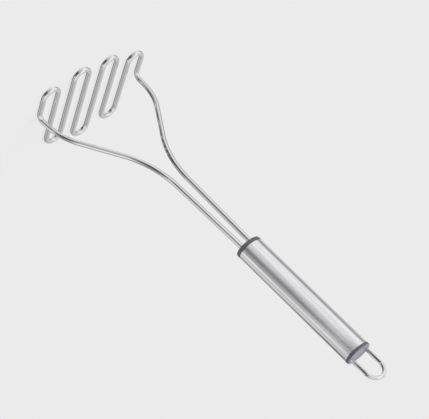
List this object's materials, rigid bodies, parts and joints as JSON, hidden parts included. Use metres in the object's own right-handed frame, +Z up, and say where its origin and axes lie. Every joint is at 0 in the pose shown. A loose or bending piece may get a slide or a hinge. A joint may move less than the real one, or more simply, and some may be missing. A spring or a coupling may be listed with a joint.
{
  "type": "potato masher",
  "caption": "Wire potato masher: one bent rod makes an oval zigzag grid and two legs that close into an oval steel handle with dark end caps and a wire hanging loop.",
  "frame": {"origin": "on the table, under the middle of the grid that the masher stands on", "axes": "+Z up along the handle, +X across the strands towards one leg, +Y along the strands to the side that the handle stands over"},
  "size_m": [0.102, 0.0774, 0.313],
  "materials": {
    "polished_steel": "polished stainless wire",
    "satin_steel": "satin stainless, brushed lengthwise",
    "cap_plastic": "dark grey, satin moulded",
    "inner_plastic": "natural moulded, not seen"
  },
  "bodies": {
    "root": {"mashing_wire": "polished_steel", "front_cap": "cap_plastic", "anchor_half_front": "inner_plastic", "anchor_half_back": "inner_plastic", "handle_tube": "satin_steel", "rear_cap": "cap_plastic", "hanging_loop": "polished_steel", "loop_lock": "inner_plastic"}
  },
  "joints": []
}
